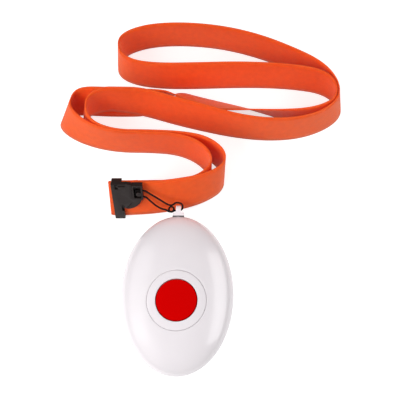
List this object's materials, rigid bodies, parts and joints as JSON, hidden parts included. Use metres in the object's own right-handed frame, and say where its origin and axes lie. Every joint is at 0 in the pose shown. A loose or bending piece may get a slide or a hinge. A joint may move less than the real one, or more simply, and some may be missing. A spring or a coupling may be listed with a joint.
{
  "type": "wireless call button pendant",
  "caption": "Egg-shaped wireless call button pendant with one large red push button, a strap lug and a breakaway neck ribbon on a thin string.",
  "frame": {"origin": "centre of the pendant's flat back, where it rests", "axes": "+Z out of the button's face, +Y along the pendant towards the strap lug, +X to its right"},
  "size_m": [0.1395, 0.1658, 0.0213],
  "materials": {
    "case_white": "high gloss, faintly pink white",
    "ring_white": "high gloss white",
    "button_red": "smooth, flat red",
    "seal_grey": "matt",
    "steel": "bright",
    "board_green": "solder mask",
    "chip_black": "matt",
    "brass": "plain",
    "black_plastic": "matt brown-black",
    "holder_black": "matt",
    "lug_white": "satin",
    "string_black": "braided",
    "ribbon_orange": "satin weave with a fine rib",
    "thread_orange": "sewing thread"
  },
  "bodies": {
    "pendant": {"front_shell": "case_white", "back_shell": "case_white", "shell_gasket": "seal_grey", "case_screws": "steel", "trim_ring": "ring_white", "ring_seal": "seal_grey", "tact_switch_body": "chip_black", "circuit_board": "board_green", "board_screws": "steel", "radio_chip": "chip_black", "crystal_can": "steel", "chip_passives": "chip_black", "wire_antenna": "brass", "battery_holder": "holder_black", "coin_cell": "steel", "contact_positive": "steel", "contact_negative": "brass", "strap_lug": "lug_white", "lug_seal": "seal_grey", "string": "string_black", "buckle_insert": "black_plastic"},
    "button": {"red_button": "button_red", "switch_plunger": "chip_black"},
    "lanyard": {"buckle_body": "black_plastic", "lanyard_ribbon": "ribbon_orange", "ribbon_stitching": "thread_orange"}
  },
  "joints": [
    {"name": "button_press", "type": "slide", "parent": "pendant", "child": "button", "axis": [0, 0, -1], "range_m": [0, 0.0007], "stiffness_N_per_m": 2500},
    {"name": "buckle_release", "type": "slide", "parent": "pendant", "child": "lanyard", "axis": [-1, 0, 0], "range_m": [0, 0.009]}
  ]
}
